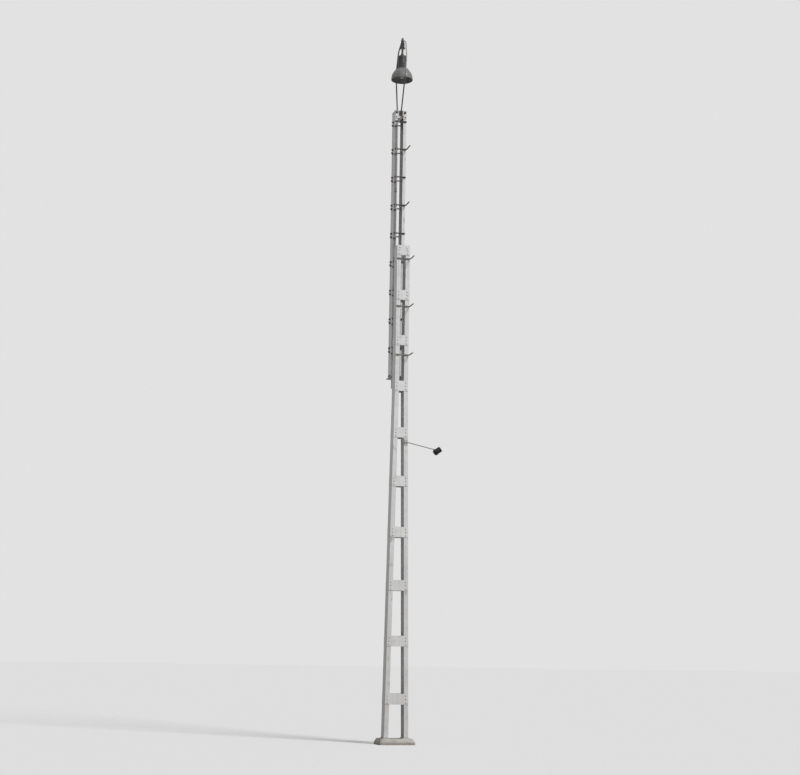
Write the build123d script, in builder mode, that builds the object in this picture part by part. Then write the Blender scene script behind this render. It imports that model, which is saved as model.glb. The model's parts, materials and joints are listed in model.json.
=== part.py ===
from build123d import *
import os
from collections import namedtuple
from math import cos, isclose, radians, sin, sqrt, tan

# Battened railway mast with a lamp extension behind its head, in millimetres.
# Z is up from the ground, X runs across the front, and the front faces -Y.

# Foundation head
foundation_width = 640
foundation_depth = 460
foundation_height = 100
foundation_bevel_width = 35
foundation_bevel_height = 60

# Shaft: two rolled channels that lean together up to the knee
foot_width = 430
head_width = 235
knee_height = 6165
upper_length = 2555
mast_channel_depth = 200
mast_flange = 75
mast_web = 8.5
mast_flange_thickness = 11.5
mast_root_radius = 11.5
mast_toe_radius = 5.5
flange_slope = 0.08

# Batten plates, front and back
batten_height = 180
batten_thickness = 8
batten_corner = 10
first_batten_height = 757
first_bay = 976
bays_below_knee = 6
bays_above_knee = 3
top_batten_margin = 5
top_batten_corner = 85

# Lamp extension: two light channels behind the shaft
standoff = 130
extension_width = 208
extension_depth = 220
extension_flange = 55
extension_web = 6
extension_flange_thickness = 8
extension_root_radius = 8
extension_toe_radius = 4
extension_length = 4970

# Shelf that carries the extension above the knee
shelf_rise = 210
shelf_width = 270
shelf_thickness = 12
shelf_overhang = 12
gusset_thickness = 8
gusset_height = 200
gusset_tail = 45
cleat_leg = 50
cleat_thickness = 8
cleat_length = 120
cleat_root_radius = 7

# Brackets between shaft and extension
bracket_plate = 6
bracket_foot = 46
bracket_height = 120

# Rungs of the extension, from the shelf up; step irons end in a peg
bar_diameter = 22
bar_overhang = 4
rung_spacing = 530
first_peg_rung = 6
rung_clearance = 5
iron_drops = (265, 205, 155)
peg_length = 240
peg_offset = 8
peg_bend = 30
seat_gap = 0.3

# Head of the extension
head_plate_height = 140
head_plate_thickness = 8
cap_thickness = 10
cap_overhang = 6

# Lamp cable's conduit: two lengths of tube with a sleeve over their joint
conduit_diameter = 28
conduit_wall = 2.5
conduit_offset = 22
conduit_start = 300
conduit_joint_rung = 6
conduit_bend = 60
conduit_turn = 140
coupling_diameter = 36
coupling_length = 60
gland_diameter = 42
gland_x = 20
gland_rise = 24
gland_edge = 3

# Harp that carries the lamp
harp_rod_diameter = 24
lug_width = 60
lug_gap = 10
lug_corner = 20
harp_height = 1465
harp_lean = 1.5
harp_low_drop = 705
harp_low_half_width = 345
harp_wide_drop = 485
harp_half_width = 352
harp_shoulder_drop = 175
harp_shoulder_half_width = 262
harp_side_bend = 420
harp_shoulder_bend = 150
apex_diameter = 42
apex_length = 80
apex_edge = 12
rod_meeting_depth = 30

# Lamp
stem_diameter = 38
stem_length = 272
stem_ring_diameter = 62
stem_ring_height = 24
housing_height = 267
housing_top_diameter = 150
housing_bottom_diameter = 172
housing_edge = 14
collar_diameter = 248
collar_thickness = 10
collar_edge = 3.5
shade_sheet = 4
shade_height = 187
shade_neck_diameter = 92
shade_top_diameter = 236
shade_middle_diameter = 370
shade_middle_drop = 94
rim_diameter = 394
rim_bead = 5
holder_diameter = 66
holder_length = 55
bulb_diameter = 88
bulb_neck_diameter = 42
bulb_length = 105

# Small tilted drum on a side arm
arm_below_batten = 163
arm_diameter = 18
arm_plate_width = 66
arm_plate_height = 110
arm_plate_thickness = 8
arm_plate_corner = 10
drum_reach = 598
drum_below_arm = 140
drum_diameter = 100
drum_length = 135
drum_tilt = 35
drum_front_edge = 4
drum_back_edge = 18
drum_rim = 9
drum_recess = 6
band_inset = 24
band_width = 24
band_thickness = 5

Channel = namedtuple("Channel", "depth flange web thickness root toe")
mast_channel = Channel(
    mast_channel_depth,
    mast_flange,
    mast_web,
    mast_flange_thickness,
    mast_root_radius,
    mast_toe_radius,
)
extension_channel = Channel(
    extension_depth,
    extension_flange,
    extension_web,
    extension_flange_thickness,
    extension_root_radius,
    extension_toe_radius,
)

# Planes and heights that pieces share
shaft_face = mast_channel_depth / 2
batten_face = shaft_face + batten_thickness
extension_front = batten_face + standoff
extension_y = extension_front + extension_depth / 2
extension_back = extension_front + extension_depth
mast_height = knee_height + upper_length
shelf_top = knee_height + shelf_rise
shelf_underside = shelf_top - shelf_thickness
head_top = shelf_top + extension_length
head_plate_bottom = head_top - head_plate_height
head_plate_front = extension_front - head_plate_thickness
head_plate_back = extension_back + head_plate_thickness

# The lamp hangs from the harp's apex, and its pieces are stacked downward
apex_height = head_top + harp_height
apex_bottom = apex_height - apex_length
housing_top = apex_bottom - stem_length
collar_top = housing_top - housing_height
collar_height = collar_top - collar_thickness
rim_height = collar_height - shade_height
lean = radians(harp_lean)
lamp_x = harp_height * tan(lean)
lamp_axis = Axis((lamp_x, extension_y, 0), (0, 0, 1))
lamp_plane = Plane(origin=(lamp_x, extension_y, 0), x_dir=(1, 0, 0), z_dir=(0, -1, 0))
harp_plane = Plane(
    origin=(0, extension_y, head_top), x_dir=(0, 1, 0), z_dir=(cos(lean), 0, -sin(lean))
)


def save(piece, name):
    """Label a finished piece and write it as its own file."""
    piece.part.label = name
    export_step(piece.part, f"parts/{name}.step")


def outer_half(height):
    """Half of the shaft's outer width at a height above the ground."""
    rise = min(height / knee_height, 1)
    return (foot_width + (head_width - foot_width) * rise) / 2


def channel_section(height, web_x, size, middle_y=0):
    """Draw a rolled channel's section, its web outside and its tapered flanges inward."""
    inward = -1 if web_x > 0 else 1
    root_x = web_x + inward * size.web
    toe_x = web_x + inward * size.flange
    outside = size.depth / 2
    root_inside = outside - size.thickness - flange_slope * (size.flange / 2 - size.web)
    toe_inside = outside - size.thickness + flange_slope * size.flange / 2
    with BuildSketch(Plane.XY.offset(height)) as section:
        with BuildLine():
            Polyline(
                (web_x, middle_y - outside),
                (toe_x, middle_y - outside),
                (toe_x, middle_y - toe_inside),
                (root_x, middle_y - root_inside),
                (root_x, middle_y + root_inside),
                (toe_x, middle_y + toe_inside),
                (toe_x, middle_y + outside),
                (web_x, middle_y + outside),
                close=True,
            )
        make_face()
        for corner_x, corner_y, radius in (
            (root_x, root_inside, size.root), (toe_x, toe_inside, size.toe)
        ):
            corners = section.vertices().filter_by(
                lambda corner: isclose(corner.X, corner_x, abs_tol=0.01)
                and isclose(abs(corner.Y - middle_y), corner_y, abs_tol=0.01)
            )
            fillet(corners, radius)
    return section.sketch


def shaft_channel(side):
    """One leg of the shaft, bent at the knee."""
    sections = [
        channel_section(height, side * outer_half(height), mast_channel)
        for height in (foundation_height, knee_height, mast_height)
    ]
    with BuildPart() as leg:
        loft(sections, ruled=True)
    return leg


def batten_heights():
    """Centre heights: bays shrink evenly up to the knee and stay equal above it."""
    mean_bay = (knee_height - first_batten_height) / bays_below_knee
    shrink = 2 * (first_bay - mean_bay) / (bays_below_knee - 1)
    heights = [first_batten_height]
    for bay in range(bays_below_knee):
        heights.append(heights[-1] + first_bay - shrink * bay)
    upper_bay = (upper_length - batten_height / 2 - top_batten_margin) / bays_above_knee
    for bay in range(bays_above_knee):
        heights.append(heights[-1] + upper_bay)
    return heights


def batten_pair(height, top_corner):
    """A front and a back plate across both legs, cut to the shaft's taper."""
    low = height - batten_height / 2
    high = height + batten_height / 2
    with BuildPart() as pair:
        for face, thickness in ((shaft_face, batten_thickness), (-shaft_face, -batten_thickness)):
            with BuildSketch(Plane.XZ.offset(face)) as outline:
                with BuildLine():
                    Polyline(
                        (-outer_half(low), low),
                        (outer_half(low), low),
                        (outer_half(high), high),
                        (-outer_half(high), high),
                        close=True,
                    )
                make_face()
                corners = outline.vertices().sort_by(Axis.Y)
                fillet(corners[:2], batten_corner)
                upper = outline.vertices().sort_by(Axis.Y)[-2:]
                fillet(upper, top_corner)
            extrude(amount=thickness)
    return pair


def extension_leg(side):
    """One straight channel of the extension, from the shelf to the head."""
    web_x = side * extension_width / 2
    section = channel_section(shelf_top, web_x, extension_channel, extension_y)
    with BuildPart() as leg:
        extrude(section, amount=extension_length)
    return leg


def bracket_pair(height):
    """Two angle brackets that hold the extension off a back batten plate."""
    with BuildPart() as pair:
        for side in (-1, 1):
            outer = side * extension_width / 2
            inner = outer - side * bracket_plate
            toe = outer - side * bracket_foot
            with BuildSketch(Plane.XY.offset(height - bracket_height / 2)):
                with BuildLine():
                    Polyline(
                        (outer, batten_face),
                        (outer, extension_front),
                        (inner, extension_front),
                        (inner, batten_face + bracket_plate),
                        (toe, batten_face + bracket_plate),
                        (toe, batten_face),
                        close=True,
                    )
                make_face()
            extrude(amount=bracket_height)
    return pair


def cross_bar(height, bar_y, half_width, peg=False):
    """A round bar across two legs; a step iron's right end turns forward as a peg."""
    left = -half_width - bar_overhang
    right = half_width + (peg_offset if peg else bar_overhang)
    with BuildPart() as bar:
        with BuildLine(Plane.XY.offset(height)) as route:
            if peg:
                FilletPolyline(
                    (left, bar_y), (right, bar_y), (right, bar_y - peg_length), radius=peg_bend
                )
            else:
                Line((left, bar_y), (right, bar_y))
        with BuildSketch(Plane(origin=route.line @ 0, z_dir=route.line % 0)):
            Circle(bar_diameter / 2)
        sweep()
    return bar


def head_plate(face, thickness):
    """A plate across the extension's legs at its head."""
    with BuildPart() as plate:
        with BuildSketch(Plane.XZ.offset(face)):
            with Locations((0, head_top - head_plate_height / 2)):
                Rectangle(extension_width, head_plate_height)
        extrude(amount=thickness)
    return plate


def harp_lug(face, thickness):
    """A forged foot of the harp, flat on a head plate."""
    with BuildPart() as lug:
        with BuildSketch(Plane.XZ.offset(face)) as outline:
            with Locations((0, head_top - lug_height / 2)):
                Rectangle(lug_width, lug_height)
            fillet(outline.vertices().sort_by(Axis.Y)[:2], lug_corner)
        extrude(amount=thickness)
    return lug


def harp_rod(side):
    """A bent round rod from a lug out round the lamp to the apex, leaning with the harp."""
    foot = side * (extension_depth / 2 + head_plate_thickness + harp_rod_diameter / 2)
    buried = harp_rod_diameter
    with BuildPart() as rod:
        with BuildLine(harp_plane) as route:
            FilletPolyline(
                (foot, -buried),
                (side * harp_low_half_width, harp_height - harp_low_drop),
                (side * harp_half_width, harp_height - harp_wide_drop),
                (side * harp_shoulder_half_width, harp_height - harp_shoulder_drop),
                (0, (harp_height - rod_meeting_depth) / cos(lean)),
                radius=[harp_side_bend, harp_side_bend, harp_shoulder_bend],
            )
        with BuildSketch(Plane(origin=route.line @ 0, z_dir=route.line % 0)):
            Circle(harp_rod_diameter / 2)
        sweep()
        split(bisect_by=Plane.XY.offset(head_top), keep=Keep.TOP)
        with BuildSketch(Plane(origin=(lamp_x, extension_y, head_top))):
            Circle(apex_diameter / 2 + seat_gap)
        extrude(amount=harp_height, mode=Mode.SUBTRACT)
    return rod


def tube(points):
    """A length of conduit along a route, bent where the route turns."""
    with BuildLine(Plane.XZ.offset(-conduit_y)) as route:
        if len(points) > 2:
            FilletPolyline(*points, radius=conduit_bend)
        else:
            Line(*points)
    with BuildPart() as piece:
        with BuildSketch(Plane(origin=route.line @ 0, z_dir=route.line % 0)):
            Circle(conduit_diameter / 2)
            Circle(conduit_diameter / 2 - conduit_wall, mode=Mode.SUBTRACT)
        sweep(path=route.wire())
    return piece


os.makedirs("parts", exist_ok=True)

with BuildPart() as foundation_head:
    with BuildSketch():
        Rectangle(foundation_width, foundation_depth)
    extrude(amount=foundation_height)
    chamfer(
        foundation_head.edges().group_by(Axis.Z)[-1],
        length=foundation_bevel_height,
        length2=foundation_bevel_width,
    )
save(foundation_head, "foundation_head")

save(shaft_channel(-1), "left_channel")
save(shaft_channel(1), "right_channel")
levels = batten_heights()
for number, level in enumerate(levels, start=1):
    top = top_batten_corner if number == len(levels) else batten_corner
    save(batten_pair(level, top), f"batten_pair_{number}")

with BuildPart() as knee_shelf:
    shelf_depth = extension_back + shelf_overhang - batten_face
    with BuildSketch(Plane.XY.offset(shelf_top)):
        with Locations((0, batten_face + shelf_depth / 2)):
            Rectangle(shelf_width, shelf_depth)
    extrude(amount=-shelf_thickness)
save(knee_shelf, "knee_shelf")

with BuildPart() as shelf_back_plate:
    plate_bottom = knee_height + batten_height / 2
    with BuildSketch(Plane.XZ.offset(-shaft_face)):
        with Locations((0, (plate_bottom + shelf_top) / 2)):
            Rectangle(head_width, shelf_top - plate_bottom)
    extrude(amount=-batten_thickness)
save(shelf_back_plate, "shelf_back_plate")

with BuildPart() as shelf_gussets:
    for side in (-1, 1):
        middle_x = side * (extension_width - gusset_thickness) / 2
        with BuildSketch(Plane.YZ.offset(middle_x)):
            with BuildLine():
                Polyline(
                    (batten_face, shelf_underside),
                    (extension_back, shelf_underside),
                    (extension_front, shelf_underside - gusset_tail),
                    (extension_front, shelf_underside - gusset_height),
                    (batten_face, shelf_underside - gusset_height),
                    close=True,
                )
            make_face()
        extrude(amount=gusset_thickness / 2, both=True)
save(shelf_gussets, "shelf_gussets")

# Short angles that tie the extension's webs to the shelf
with BuildPart() as extension_cleats:
    for side in (-1, 1):
        web_face = side * (extension_width / 2 - extension_web)
        inner = web_face - side * cleat_thickness
        toe = web_face - side * cleat_leg
        with BuildSketch(Plane.XZ.offset(-extension_y - cleat_length / 2)) as angle:
            with BuildLine():
                Polyline(
                    (web_face, shelf_top),
                    (toe, shelf_top),
                    (toe, shelf_top + cleat_thickness),
                    (inner, shelf_top + cleat_thickness),
                    (inner, shelf_top + cleat_leg),
                    (web_face, shelf_top + cleat_leg),
                    close=True,
                )
            make_face()
            root = angle.vertices().sort_by_distance((inner, shelf_top + cleat_thickness))[0]
            fillet(root, cleat_root_radius)
        extrude(amount=cleat_length)
save(extension_cleats, "extension_cleats")

save(extension_leg(-1), "extension_left_leg")
save(extension_leg(1), "extension_right_leg")
lower_bracket_level, upper_bracket_level = levels[-3], levels[-1]
save(bracket_pair(lower_bracket_level), "lower_brackets")
save(bracket_pair(upper_bracket_level), "upper_brackets")

# Rungs lie on the legs' front and back faces, and every second one above the shaft has a peg
bar_seat = bar_diameter / 2 + seat_gap
bar_front_y = extension_front - bar_seat
bar_back_y = extension_back + bar_seat
highest_rung = extension_length - head_plate_height - bar_diameter
rung_count = int(highest_rung / rung_spacing)
rungs = [shelf_top + rung_spacing * (number + 1) for number in range(rung_count)]
pegged_rungs = rungs[first_peg_rung - 1 :: 2]
bracket_levels = (lower_bracket_level, upper_bracket_level)
bracket_reach = (bracket_height + bar_diameter) / 2 + rung_clearance

with BuildPart() as extension_step_irons:
    for height in pegged_rungs:
        add(cross_bar(height, bar_front_y, extension_width / 2, peg=True).part)
save(extension_step_irons, "extension_step_irons")

with BuildPart() as front_rungs:
    for height in rungs:
        beside_bracket = any(abs(height - level) < bracket_reach for level in bracket_levels)
        if height not in pegged_rungs and not beside_bracket:
            add(cross_bar(height, bar_front_y, extension_width / 2).part)
save(front_rungs, "front_rungs")

with BuildPart() as back_rungs:
    for height in rungs:
        add(cross_bar(height, bar_back_y, extension_width / 2).part)
save(back_rungs, "back_rungs")

# Step irons on the shaft's front hang below its upper battens
with BuildPart() as shaft_step_irons:
    for level, drop in zip(levels[-len(iron_drops) :], iron_drops):
        height = level - drop
        add(cross_bar(height, -shaft_face - bar_seat, outer_half(height), peg=True).part)
save(shaft_step_irons, "shaft_step_irons")

save(head_plate(-extension_front, head_plate_thickness), "head_front_plate")
save(head_plate(-extension_back, -head_plate_thickness), "head_back_plate")

with BuildPart() as head_cap:
    with BuildSketch(Plane.XY.offset(head_top)):
        with Locations((0, extension_y)):
            Rectangle(extension_width + 2 * cap_overhang, extension_depth)
    extrude(amount=cap_thickness)
save(head_cap, "head_cap")

# The conduit rises in front of the bars and leans over to its gland on the head
conduit_x = -extension_width / 2 + conduit_offset
conduit_y = bar_front_y - bar_diameter / 2 - seat_gap - conduit_diameter / 2
gland_height = head_plate_bottom + gland_rise
gland_length = head_plate_front - conduit_y + conduit_diameter / 2
gland_plane = Plane.XZ.offset(-head_plate_front)
with BuildPart() as conduit_gland:
    with BuildSketch(gland_plane):
        with Locations((gland_x, gland_height)):
            Circle(gland_diameter / 2)
    extrude(amount=gland_length)
    chamfer(conduit_gland.faces().sort_by(Axis.Y)[0].edges(), length=gland_edge)
save(conduit_gland, "conduit_gland")

conduit_foot = shelf_top + conduit_start
joint_height = (rungs[conduit_joint_rung - 1] + rungs[conduit_joint_rung]) / 2
with BuildPart() as lamp_conduit:
    add(tube([
        (conduit_x, joint_height + seat_gap),
        (conduit_x, gland_height - conduit_turn),
        (gland_x, gland_height),
    ]).part)
    with BuildSketch(gland_plane):
        with Locations((gland_x, gland_height)):
            Circle(gland_diameter / 2 + seat_gap)
    extrude(amount=gland_length, mode=Mode.SUBTRACT)
    add(tube([(conduit_x, conduit_foot), (conduit_x, joint_height)]).part)
    with BuildSketch(Plane.XY.offset(joint_height - coupling_length / 2)):
        with Locations((conduit_x, conduit_y)):
            Circle(coupling_diameter / 2)
            Circle(conduit_diameter / 2 + seat_gap, mode=Mode.SUBTRACT)
    extrude(amount=coupling_length)
save(lamp_conduit, "lamp_conduit")

# Harp and lamp
lug_height = head_plate_height - gland_rise - gland_diameter / 2 - lug_gap
save(harp_lug(-head_plate_front, harp_rod_diameter), "harp_front_lug")
save(harp_lug(-head_plate_back, -harp_rod_diameter), "harp_back_lug")
save(harp_rod(1), "harp_back_rod")
save(harp_rod(-1), "harp_front_rod")

with BuildPart() as harp_apex:
    with BuildSketch(Plane(origin=(lamp_x, extension_y, apex_bottom))):
        Circle(apex_diameter / 2)
    extrude(amount=apex_length)
    fillet(harp_apex.edges().group_by(Axis.Z)[-1], apex_edge)
save(harp_apex, "harp_apex")

with BuildPart() as lamp_stem:
    with BuildSketch(Plane(origin=(lamp_x, extension_y, housing_top))):
        Circle(stem_diameter / 2)
    extrude(amount=stem_length)
    with BuildSketch(Plane(origin=(lamp_x, extension_y, housing_top))):
        Circle(stem_ring_diameter / 2)
    extrude(amount=stem_ring_height)
save(lamp_stem, "lamp_stem")

with BuildPart() as lamp_housing:
    with BuildSketch(lamp_plane):
        with BuildLine():
            Polyline(
                (0, collar_top),
                (housing_bottom_diameter / 2, collar_top),
                (housing_top_diameter / 2, housing_top),
                (0, housing_top),
                close=True,
            )
        make_face()
    revolve(axis=lamp_axis)
    fillet(lamp_housing.edges().group_by(Axis.Z)[-1], housing_edge)
save(lamp_housing, "lamp_housing")

with BuildPart() as lamp_collar:
    with BuildSketch(Plane(origin=(lamp_x, extension_y, collar_height))):
        Circle(collar_diameter / 2)
    extrude(amount=collar_thickness)
    fillet(lamp_collar.edges().group_by(Axis.Z)[-1], collar_edge)
save(lamp_collar, "lamp_collar")


def bell(sheet):
    """Half outline of the shade, drawn in by a sheet's thickness."""
    with BuildSketch(lamp_plane) as outline:
        with BuildLine():
            curve = ThreePointArc(
                (shade_top_diameter / 2 - sheet, collar_height - sheet),
                (shade_middle_diameter / 2 - sheet, collar_height - shade_middle_drop),
                (rim_diameter / 2 - sheet, rim_height),
            )
            Polyline(curve @ 1, (0, rim_height), (0, collar_height - sheet), curve @ 0)
        make_face()
    return outline.sketch


with BuildPart() as lamp_shade:
    revolve(bell(0), axis=lamp_axis)
    revolve(bell(shade_sheet), axis=lamp_axis, mode=Mode.SUBTRACT)
    with BuildSketch(Plane(origin=(lamp_x, extension_y, collar_height))):
        Circle(shade_neck_diameter / 2)
    extrude(amount=-2 * shade_sheet, mode=Mode.SUBTRACT)
    with BuildSketch(lamp_plane):
        with Locations(((rim_diameter - shade_sheet) / 2, rim_height)):
            Circle(rim_bead)
    revolve(axis=lamp_axis)
save(lamp_shade, "lamp_shade")

holder_bottom = collar_height - holder_length
with BuildPart() as lamp_holder:
    with BuildSketch(Plane(origin=(lamp_x, extension_y, holder_bottom))):
        Circle(holder_diameter / 2)
    extrude(amount=holder_length)
save(lamp_holder, "lamp_holder")

with BuildPart() as lamp_bulb:
    bulb_radius = bulb_diameter / 2
    neck_radius = bulb_neck_diameter / 2
    bulb_bottom = holder_bottom - bulb_length
    bulb_middle = bulb_bottom + bulb_radius
    neck_end = bulb_middle + sqrt(bulb_radius**2 - neck_radius**2)
    with BuildSketch(lamp_plane):
        with BuildLine():
            Polyline(
                (0, bulb_bottom), (0, holder_bottom), (neck_radius, holder_bottom),
                (neck_radius, neck_end),
            )
            ThreePointArc(
                (neck_radius, neck_end), (bulb_radius, bulb_middle), (0, bulb_bottom)
            )
        make_face()
    revolve(axis=lamp_axis)
save(lamp_bulb, "lamp_bulb")

# The arm lies across a plate on the right leg's front flange and ends at the drum's band
arm_start_height = levels[bays_below_knee - 1] - arm_below_batten
arm_plate_x = outer_half(arm_start_height + arm_plate_height) - arm_plate_width / 2
arm_start_x = arm_plate_x - arm_plate_width / 2
arm_y = -shaft_face - arm_plate_thickness - arm_diameter / 2 - seat_gap
tilt = radians(drum_tilt)
along = Vector(cos(tilt), 0, sin(tilt))
across = Vector(-sin(tilt), 0, cos(tilt))
drum_middle = Vector(arm_start_x + drum_reach, arm_y, arm_start_height - drum_below_arm)
drum_back = drum_middle - along * (drum_length / 2)
drum_plane = Plane(origin=drum_back, x_dir=across, z_dir=along)
drum_half_plane = Plane(origin=drum_back, x_dir=along, z_dir=(0, -1, 0))
band_radius = drum_diameter / 2 + band_thickness
band_seat = drum_back + along * (band_inset + band_width / 2) + across * band_radius
arm_start = Vector(arm_start_x, arm_y, arm_start_height)
arm_run = (band_seat - arm_start).normalized()
arm_drop = -(band_seat - arm_start).Z / (band_seat - arm_start).X

with BuildPart() as arm_plate:
    plate_height = arm_start_height - arm_drop * arm_plate_width / 2
    with BuildSketch(Plane.XZ.offset(shaft_face)) as plate_outline:
        with Locations((arm_plate_x, plate_height)):
            Rectangle(arm_plate_width, arm_plate_height)
        fillet(plate_outline.vertices(), arm_plate_corner)
    extrude(amount=arm_plate_thickness)
save(arm_plate, "arm_plate")

with BuildPart() as drum_arm:
    with BuildLine():
        Line(arm_start, band_seat + arm_run * arm_diameter)
    with BuildSketch(Plane(origin=arm_start, z_dir=arm_run)):
        Circle(arm_diameter / 2)
    sweep()
    with BuildSketch(drum_plane):
        Circle(band_radius + seat_gap)
    extrude(amount=drum_length, mode=Mode.SUBTRACT)
save(drum_arm, "drum_arm")

with BuildPart() as drum_band:
    with BuildSketch(drum_plane.offset(band_inset)):
        Circle(band_radius)
        Circle(drum_diameter / 2, mode=Mode.SUBTRACT)
    extrude(amount=band_width)
save(drum_band, "drum_band")

# The drum is turned about its tilted axis: round back corner, rim and shallow front recess
with BuildPart() as drum:
    with BuildSketch(drum_half_plane) as half_drum:
        Rectangle(drum_length, drum_diameter / 2, align=(Align.MIN, Align.MIN))
        fillet(half_drum.vertices().group_by(Axis.Y)[-1].sort_by(Axis.X)[0], drum_back_edge)
        fillet(half_drum.vertices().group_by(Axis.X)[-1].sort_by(Axis.Y)[-1], drum_front_edge)
        with Locations((drum_length - drum_recess, 0)):
            Rectangle(
                drum_recess,
                drum_diameter / 2 - drum_rim,
                align=(Align.MIN, Align.MIN),
                mode=Mode.SUBTRACT,
            )
    revolve(axis=Axis(drum_back, along))
save(drum, "drum")
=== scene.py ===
import json
import random
from math import atan2, cos, pi, radians, sin

import bmesh
import bpy
from mathutils import Matrix, Vector, noise


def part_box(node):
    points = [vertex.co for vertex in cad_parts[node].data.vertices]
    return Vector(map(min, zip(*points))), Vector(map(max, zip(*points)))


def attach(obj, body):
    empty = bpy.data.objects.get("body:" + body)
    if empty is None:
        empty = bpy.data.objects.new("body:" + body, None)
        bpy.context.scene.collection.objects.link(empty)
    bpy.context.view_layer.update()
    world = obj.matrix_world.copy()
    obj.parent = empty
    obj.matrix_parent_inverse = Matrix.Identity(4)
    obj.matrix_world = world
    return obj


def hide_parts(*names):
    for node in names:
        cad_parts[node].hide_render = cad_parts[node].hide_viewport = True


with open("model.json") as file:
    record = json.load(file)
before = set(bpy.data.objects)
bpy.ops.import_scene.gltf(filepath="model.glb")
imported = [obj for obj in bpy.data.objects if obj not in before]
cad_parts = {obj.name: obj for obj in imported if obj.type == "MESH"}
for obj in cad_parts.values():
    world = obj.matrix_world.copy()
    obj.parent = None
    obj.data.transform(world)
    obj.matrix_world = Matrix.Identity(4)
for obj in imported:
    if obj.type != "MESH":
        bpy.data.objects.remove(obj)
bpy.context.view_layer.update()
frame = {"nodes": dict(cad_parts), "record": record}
chance = random.Random(7)

X, Y, Z = Vector((1, 0, 0)), Vector((0, 1, 0)), Vector((0, 0, 1))
SIDES = (-1, 1)

# Camera: the photo's own viewpoint, in metres, turned to look at the mast alone
CAMERA_PLACE = (-6.96, -25.99, 1.47)
CAMERA_PITCH = radians(9.87)
CAMERA_ROLL = radians(0.9)
CAMERA_LENS = 69.6
SENSOR_WIDTH = 36.0

# Light and floor
SUN_STRENGTH = 2.4
SUN_ANGLE = radians(20)
SUN_TURN = (radians(52), 0.0, radians(30))
AMBIENT = 0.38
BACKDROP = 0.76
FLOOR_SEEN = 0.86
FLOOR_TONES = (0.54, 0.58)
FLOOR_SIZE = 400.0

# Colours that finishes share
RUST = (0.155, 0.098, 0.066, 1.0)
CONCRETE_TONES = ((0.33, 0.315, 0.285, 1.0), (0.50, 0.485, 0.45, 1.0))
STONE_SPECKS = (0.24, 0.23, 0.21, 1.0)
DAMP_CONCRETE = (0.16, 0.15, 0.13, 1.0)
RUST_AND_SHADE_TONE = (0.17, 0.12, 0.085, 1.0)

# How far corners and edges change a finish, with its painted shade and painted bounce light, in
# metres
BOUNCE_LIGHT_REACH = 0.16
RUST_AND_SHADE_REACH = 0.09
GRIME_AND_SHADE_REACH = 0.022
PAINT_EDGE = 0.004
IRON_EDGE = 0.002

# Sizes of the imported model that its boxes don't give, in metres
SEAT_GAP = 0.0003
FOOT_WIDTH = 0.430
HEAD_WIDTH = 0.235
KNEE_HEIGHT = 6.165
SHAFT_FACE = 0.100
SHAFT_FLANGE = 0.0115
FLANGE_MIDDLE = 0.040
BATTEN_LEVELS = 10
LEG_FLANGE = 0.008
LEG_FLANGE_X = 0.0765
BRACKET_PLATE = 0.006
GUSSET_THICKNESS = 0.008
CLEAT_THICKNESS = 0.008
RUNG_SPACING = 0.530
RUNG_RADIUS = 0.011
RUNG_SEAT = RUNG_RADIUS + SEAT_GAP
IRON_DROPS = (0.265, 0.205, 0.155)
CONDUIT_RADIUS = 0.014
CONDUIT_X = -0.082
CONDUIT_JOINT_RUNG = 6
ARM_RADIUS = 0.009
ARM_SEAT = ARM_RADIUS + SEAT_GAP
BEVEL_WIDTH = 0.035
BEVEL_START = 0.4

# Rivets, bolts, straps, hoops and welds
RIVET_RADIUS = 0.0155
RIVET_HEIGHT = 0.0115
RIVET_SPACING = 0.058
ARCH_INSET = 0.012
TINY_BOLT = 0.008
SMALL_BOLT = 0.010
MIDDLE_BOLT = 0.014
LARGE_BOLT = 0.020
STRAP_THICKNESS = 0.004
HOOP_WIRE = 0.008
HOOP_REACH = RUNG_RADIUS + HOOP_WIRE / 2 + SEAT_GAP
HOOP_TAIL = 0.012
WELD = 0.004
THIN_WELD = 0.0035
FINE_WELD = 0.003
WELD_RIPPLE = 0.006
WELD_INSET = 0.010

# Where fasteners stand on the extension, its shelf and its brackets
SAME_LEVEL = 0.05
BRACKET_BOLT_REACH = 0.036
BRACKET_WELD_REACH = 0.058
CLEAT_BOLT_INSET = 0.034
CLEAT_BOLT_REACH = 0.035
FRONT_HOOPS = (-0.059, LEG_FLANGE_X)
WEB_NUT_BACK = 0.020
WEB_NUT_LIFTS = (0.016, -0.052)
CLIP_DROP = 0.105
CLIP_WIDTH = 0.024
CLIP_FOOT = 0.017
CLIP_BOLT = 0.009
COUPLING_RING = 0.026

# Where fasteners stand on the head, the lamp, the side arm and the foundation
HEAD_BOLT_X = 0.078
HEAD_BOLT_DROP = 0.026
HEAD_RIVET_X = 0.082
HEAD_RIVET_RISE = 0.024
LUG_BOLT_RISE = 0.005
ROD_WELD_X = 0.0135
ROD_WELD_Y = 0.0125
STEM_RING_HEIGHT = 0.024
PIN_DROP = 0.112
PIN_HALF_LENGTH = 0.034
LATCH_TURNS = (radians(35), radians(155), radians(275))
LATCH_RISE = 0.055
LATCH_INSET = 0.006
LATCH_LENGTH = 0.085
COLLAR_BOLTS = 6
COLLAR_BOLT_CIRCLE = 0.106
ARM_STRAP_STEPS = (0.016, 0.048)
ARM_STRAP_FOOT = 0.016
ARM_STRAP_WIDTH = 0.012
ARM_BOLT_INSET = 0.013
BLOCK_WEAR = 0.0045
PAD_WEAR = 0.004
PAD_X = 0.176
PAD_SINK = 0.006


def link(obj):
    bpy.context.scene.collection.objects.link(obj)
    return obj


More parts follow.
